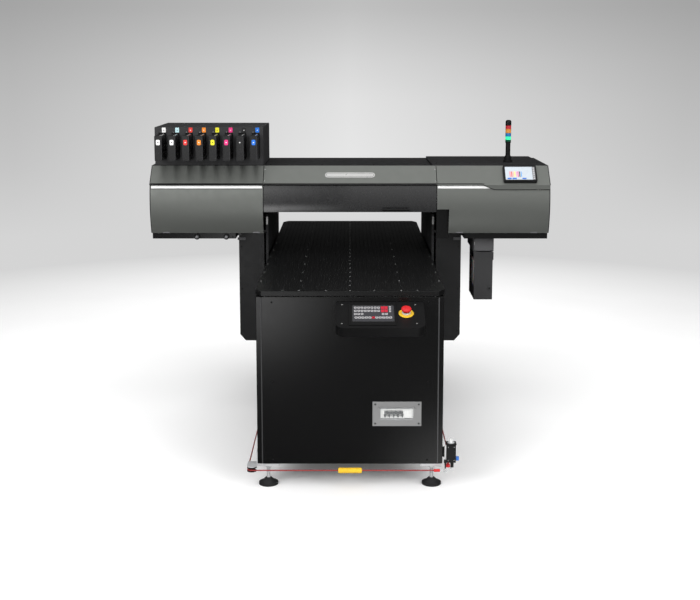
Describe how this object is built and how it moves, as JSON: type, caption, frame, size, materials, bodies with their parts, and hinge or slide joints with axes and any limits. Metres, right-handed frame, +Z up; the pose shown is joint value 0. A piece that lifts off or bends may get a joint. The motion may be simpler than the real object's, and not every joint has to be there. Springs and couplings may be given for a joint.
{
  "type": "flatbed printer",
  "caption": "Moving-gantry UV flatbed inkjet printer with a vacuum table, lifting print head, ink rack, control console and rope-pull emergency stop",
  "frame": {"origin": "on the floor under the middle of the whole machine's box, console and rear rope included", "axes": "+X right as the operator sees it, +Y away from the operator along the table, +Z up"},
  "size_m": [1.894, 2.1949, 1.464],
  "materials": {
    "frame_paint": "satin powder coat",
    "black_paint": "fine satin powder coat",
    "table_black": "black hard anodised, satin",
    "grey_paint": "metallic grey satin paint",
    "dark_cover": "dark charcoal satin paint",
    "smoked_cover": "smoked semi-gloss",
    "light_grey_paint": "satin grey paint",
    "mid_grey_paint": "satin dark grey paint",
    "steel": "ground bright steel",
    "zinc": "zinc-plated",
    "aluminium_plate": "machined",
    "black_rubber": "moulded",
    "black_plastic": "fine-grained moulding",
    "cartridge_black": "semi-gloss moulding",
    "red_plastic": "glossy moulding",
    "yellow_plastic": "glossy moulding",
    "blue_plastic": "glossy moulding",
    "white_plastic": "moulded",
    "bottle_plastic": "translucent blow moulding",
    "clear_plastic": "clear polycarbonate",
    "rope_red": "red sheath over steel rope",
    "lamp_plastic": "coloured lenses",
    "belt_rubber": "toothed belt",
    "bezel_grey": "satin grey"
  },
  "bodies": {
    "bed": {"bed_frame": "frame_paint", "foot_stems": "zinc", "foot_pads": "black_rubber", "corner_trims": "black_paint", "front_panel": "black_paint", "side_and_rear_panels": "black_paint", "vacuum_table": "table_black", "vacuum_plenum": "aluminium_plate", "vacuum_blower": "mid_grey_paint", "y_guideways": "steel", "console_housing": "black_plastic", "breaker_bezel": "bezel_grey", "breaker_bank": "white_plastic", "switch_body": "black_plastic", "safety_rope": "rope_red", "rope_handle": "yellow_plastic", "rope_fittings": "zinc", "pulley_brackets": "zinc"},
    "gantry": {"saddle_plates": "aluminium_plate", "bearing_blocks": "steel"},
    "head": {"lift_screws": "steel", "side_plates": "dark_cover", "leg_covers": "black_paint", "gantry_beam": "aluminium_plate", "x_rails": "steel", "upper_covers": "grey_paint", "top_covers": "dark_cover", "rear_and_end_covers": "dark_cover", "trays": "black_paint", "ink_rack": "dark_cover", "touch_panel": "black_plastic", "tower_pole": "black_plastic", "tower_lamps": "lamp_plastic", "waste_bracket": "light_grey_paint", "capping_station": "black_plastic", "drive_belt": "belt_rubber"},
    "print_carriage": {"carriage": "mid_grey_paint", "heads_and_lamps": "steel"},
    "centre_cover": {"front_cover": "smoked_cover", "front_cover_handle": "black_plastic"},
    "left_cover": {"lower_cover_left": "grey_paint"},
    "right_cover": {"lower_cover_right": "grey_paint"},
    "bottle_drawer": {"bottle_tray": "mid_grey_paint", "waste_bottle": "bottle_plastic"},
    "left_pulley": {"belt_pulley_left": "steel"},
    "right_pulley": {"belt_pulley_right": "steel"},
    "estop": {"estop_button": "red_plastic"},
    "window_flap": {"breaker_flap": "clear_plastic"},
    "main_lever": {"breaker_lever": "black_plastic"},
    "test_button": {"switch_test_button": "red_plastic"},
    "reset_knob": {"switch_reset_knob": "blue_plastic"},
    "corner_pulley": {"rope_pulley": "black_plastic"},
    "ink_1": {"cartridge_1": "cartridge_black"},
    "ink_2": {"cartridge_2": "cartridge_black"},
    "ink_3": {"cartridge_3": "cartridge_black"},
    "ink_4": {"cartridge_4": "cartridge_black"},
    "ink_5": {"cartridge_5": "cartridge_black"},
    "ink_6": {"cartridge_6": "cartridge_black"},
    "ink_7": {"cartridge_7": "cartridge_black"},
    "ink_8": {"cartridge_8": "cartridge_black"}
  },
  "joints": [
    {"name": "gantry_travel", "type": "slide", "parent": "bed", "child": "gantry", "axis": [0, 1, 0], "range_m": [-0.85, 0.22]},
    {"name": "gantry_lift", "type": "slide", "parent": "gantry", "child": "head", "axis": [0, 0, 1], "range_m": [-0.205, 0]},
    {"name": "carriage_travel", "type": "slide", "parent": "head", "child": "print_carriage", "axis": [1, 0, 0], "range_m": [-1.4, 0]},
    {"name": "left_pulley_turn", "type": "hinge", "parent": "head", "child": "left_pulley", "pos_m": [-0.905, 0.1745, 1.156], "axis": [0, 0, 1], "continuous": true},
    {"name": "right_pulley_turn", "type": "hinge", "parent": "head", "child": "right_pulley", "pos_m": [0.905, 0.1745, 1.156], "axis": [0, 0, 1], "continuous": true},
    {"name": "centre_cover_hinge", "type": "hinge", "parent": "head", "child": "centre_cover", "pos_m": [0, -0.0965, 1.132], "axis": [-1, 0, 0], "range_deg": [0, 75]},
    {"name": "left_cover_hinge", "type": "hinge", "parent": "head", "child": "left_cover", "pos_m": [0, -0.0965, 1.132], "axis": [-1, 0, 0], "range_deg": [0, 75]},
    {"name": "right_cover_hinge", "type": "hinge", "parent": "head", "child": "right_cover", "pos_m": [0, -0.0965, 1.132], "axis": [-1, 0, 0], "range_deg": [0, 75]},
    {"name": "bottle_drawer_slide", "type": "slide", "parent": "head", "child": "bottle_drawer", "axis": [0, -1, 0], "range_m": [0, 0.2]},
    {"name": "estop_press", "type": "slide", "parent": "bed", "child": "estop", "axis": [0, 0.3752, -0.9269], "range_m": [0, 0.004], "stiffness_N_per_m": 600, "springref_m": -0.002},
    {"name": "window_flap_hinge", "type": "hinge", "parent": "bed", "child": "window_flap", "pos_m": [0.192, -0.9325, 0.341], "axis": [-1, 0, 0], "range_deg": [0, 110]},
    {"name": "main_lever_hinge", "type": "hinge", "parent": "bed", "child": "main_lever", "pos_m": [0.192, -0.9135, 0.3145], "axis": [1, 0, 0], "range_deg": [0, 70]},
    {"name": "test_button_press", "type": "slide", "parent": "bed", "child": "test_button", "axis": [0, 0, 1], "range_m": [0, 0.004], "stiffness_N_per_m": 300, "springref_m": -0.002},
    {"name": "reset_knob_pull", "type": "slide", "parent": "bed", "child": "reset_knob", "axis": [1, 0, 0], "range_m": [0, 0.005], "stiffness_N_per_m": 300},
    {"name": "corner_pulley_turn", "type": "hinge", "parent": "bed", "child": "corner_pulley", "pos_m": [-0.404, -0.9285, 0.08], "axis": [0, 0, 1], "continuous": true},
    {"name": "ink_1_slide", "type": "slide", "parent": "head", "child": "ink_1", "axis": [0, -1, 0], "range_m": [0, 0.27]},
    {"name": "ink_2_slide", "type": "slide", "parent": "head", "child": "ink_2", "axis": [0, -1, 0], "range_m": [0, 0.27]},
    {"name": "ink_3_slide", "type": "slide", "parent": "head", "child": "ink_3", "axis": [0, -1, 0], "range_m": [0, 0.27]},
    {"name": "ink_4_slide", "type": "slide", "parent": "head", "child": "ink_4", "axis": [0, -1, 0], "range_m": [0, 0.27]},
    {"name": "ink_5_slide", "type": "slide", "parent": "head", "child": "ink_5", "axis": [0, -1, 0], "range_m": [0, 0.27]},
    {"name": "ink_6_slide", "type": "slide", "parent": "head", "child": "ink_6", "axis": [0, -1, 0], "range_m": [0, 0.27]},
    {"name": "ink_7_slide", "type": "slide", "parent": "head", "child": "ink_7", "axis": [0, -1, 0], "range_m": [0, 0.27]},
    {"name": "ink_8_slide", "type": "slide", "parent": "head", "child": "ink_8", "axis": [0, -1, 0], "range_m": [0, 0.27]}
  ],
  "couplings": [
    {"joint": "left_pulley_turn", "follows": "carriage_travel", "rad_per_m": 46.948},
    {"joint": "right_pulley_turn", "follows": "carriage_travel", "rad_per_m": 46.948}
  ]
}
